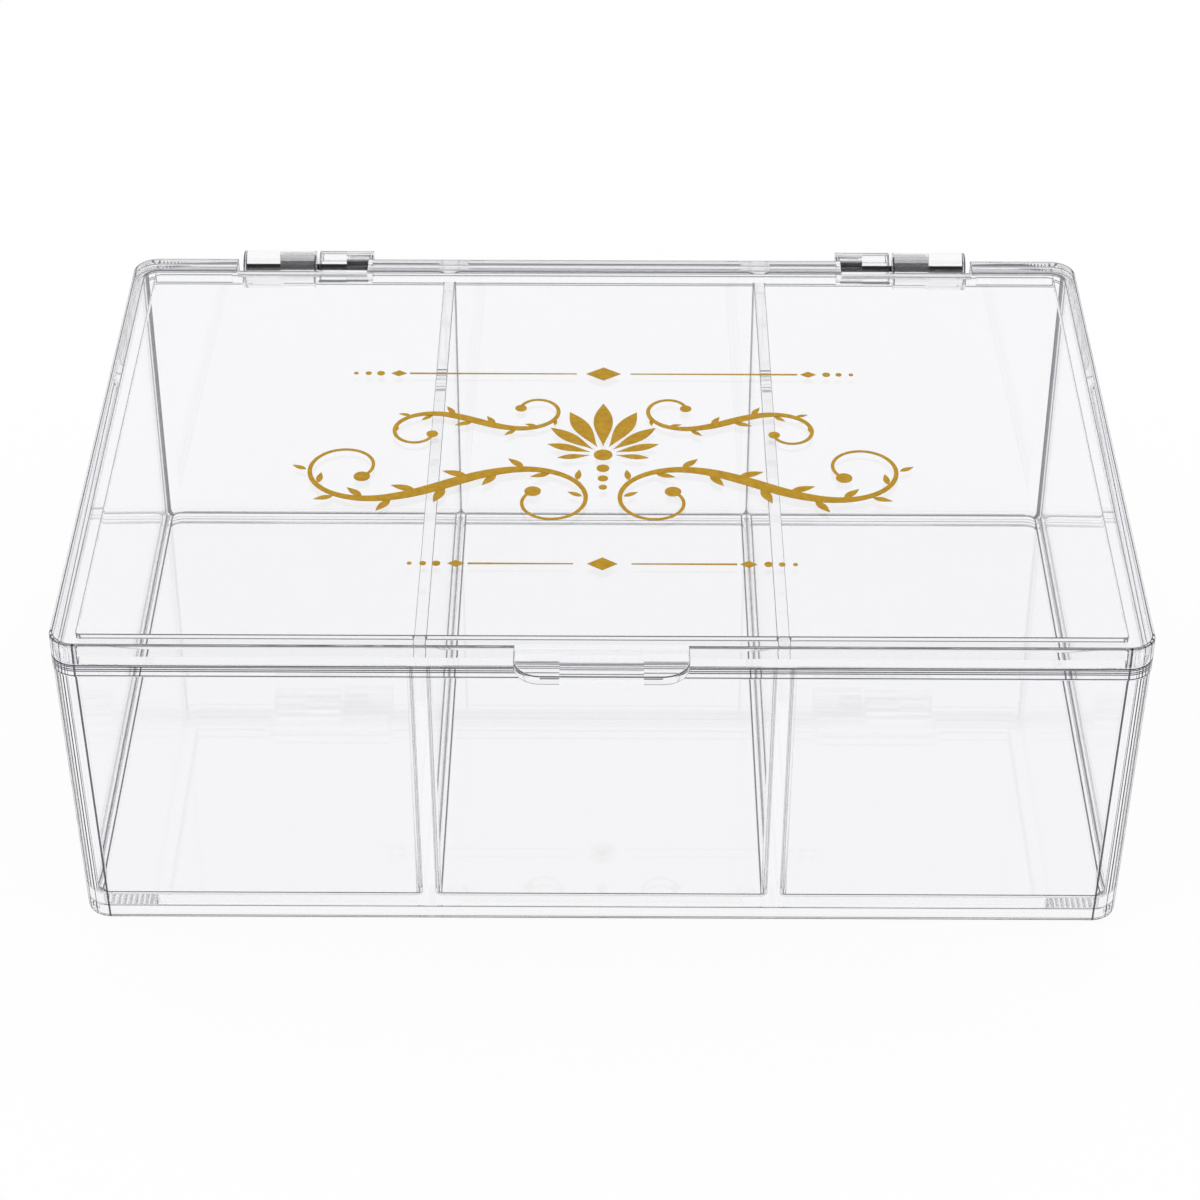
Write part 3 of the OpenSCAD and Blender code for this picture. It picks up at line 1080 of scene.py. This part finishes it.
def seen_directly(tree):
    """1 for what the camera sees, straight, through plastic or mirrored, and 0 for light on a surface."""
    path = node(tree, "ShaderNodeLightPath")
    total = path.outputs["Is Camera Ray"]
    for name in ("Is Transmission Ray", "Is Glossy Ray"):
        larger = node(tree, "ShaderNodeMath", {"operation": "MAXIMUM"}, {0: total, 1: path.outputs[name]})
        total = larger.outputs[0]
    return total


def make_floor():
    """A white table top: the light on it makes part of its brightness, so the box keeps a faint shadow."""
    bpy.ops.mesh.primitive_plane_add(size=12)
    floor = bpy.context.object
    floor.name = "floor"
    floor.location = (0, 0, -0.2 * MM)
    made, tree = material("white_table")
    lit = node(tree, "ShaderNodeBsdfDiffuse", {"Color": (FLOOR_SHADE, FLOOR_SHADE, FLOOR_SHADE, 1)})
    rest = node(
        tree, "ShaderNodeMath", {"operation": "MULTIPLY", 1: 1 - FLOOR_SHADE}, {0: seen_directly(tree)}
    )
    glow = node(tree, "ShaderNodeEmission", {"Color": WHITE}, {"Strength": rest.outputs[0]})
    both = node(tree, "ShaderNodeAddShader", links={0: lit.outputs[0], 1: glow.outputs[0]})
    node(tree, "ShaderNodeOutputMaterial", links={"Surface": both.outputs[0]})
    floor.data.materials.append(made)


def fade(tree, source, ends):
    """Fades from 0 to 1 as the source goes from the first end to the second."""
    settings = {"interpolation_type": "SMOOTHSTEP", 1: ends[0], 2: ends[1]}
    return node(tree, "ShaderNodeMapRange", settings, {0: source}).outputs[0]


def make_world(scene):
    """A white studio whose front is grey above the horizon, which draws the edges of clear plastic.

    The camera and the table see it white: only plastic and metal mirror and bend the grey part.
    """
    world = bpy.data.worlds.new("studio")
    world.use_nodes = True
    tree = world.node_tree
    tree.nodes.clear()
    coords = node(tree, "ShaderNodeTexCoord")
    axes = node(tree, "ShaderNodeSeparateXYZ", links={"Vector": coords.outputs["Generated"]})
    high = fade(tree, axes.outputs["Z"], ROOM_HIGH)
    front = fade(tree, axes.outputs["Y"], ROOM_FRONT)
    share = node(tree, "ShaderNodeMath", {"operation": "MULTIPLY"}, {0: high, 1: front})
    room = node(
        tree, "ShaderNodeMix", {"data_type": "RGBA", 6: WHITE, 7: ROOM_GREY}, {0: share.outputs[0]}
    )
    path = node(tree, "ShaderNodeLightPath")
    plain = node(
        tree, "ShaderNodeMath", {"operation": "MAXIMUM"},
        {0: path.outputs["Is Camera Ray"], 1: path.outputs["Is Diffuse Ray"]},
    )
    shown = node(
        tree, "ShaderNodeMix", {"data_type": "RGBA", 7: WHITE}, {0: plain.outputs[0], 6: room.outputs[2]}
    )
    background = node(tree, "ShaderNodeBackground", {"Strength": 1.0}, {"Color": shown.outputs[2]})
    node(tree, "ShaderNodeOutputWorld", links={"Surface": background.outputs[0]})
    scene.world = world


class BOX_PT_panel(bpy.types.Panel):
    """Lists the box's pieces."""

    bl_label = "Clear Box"
    bl_idname = "BOX_PT_panel"
    bl_space_type = "VIEW_3D"
    bl_region_type = "UI"
    bl_category = "Clear Box"

    def draw(self, context):
        for operator in PIECES:
            self.layout.operator(operator.bl_idname)


PIECES = (BOX_OT_tray, BOX_OT_lid, BOX_OT_ornament, BOX_OT_pins, BOX_OT_stage)
CLASSES = (BoxSizes, OrnamentSizes, *PIECES, BOX_PT_panel)


def register():
    """Registers the classes and the scene's sizes."""
    for made in CLASSES:
        bpy.utils.register_class(made)
    bpy.types.Scene.box_sizes = PointerProperty(type=BoxSizes)
    bpy.types.Scene.ornament_sizes = PointerProperty(type=OrnamentSizes)


def unregister():
    """Takes back what register did."""
    del bpy.types.Scene.ornament_sizes
    del bpy.types.Scene.box_sizes
    for made in reversed(CLASSES):
        bpy.utils.unregister_class(made)


def main():
    """Builds the box and its stage."""
    register()
    bpy.ops.clear_box.tray()
    bpy.ops.clear_box.lid()
    bpy.ops.clear_box.ornament()
    bpy.ops.clear_box.pins()
    bpy.ops.clear_box.stage()


if __name__ == "__main__":
    main()
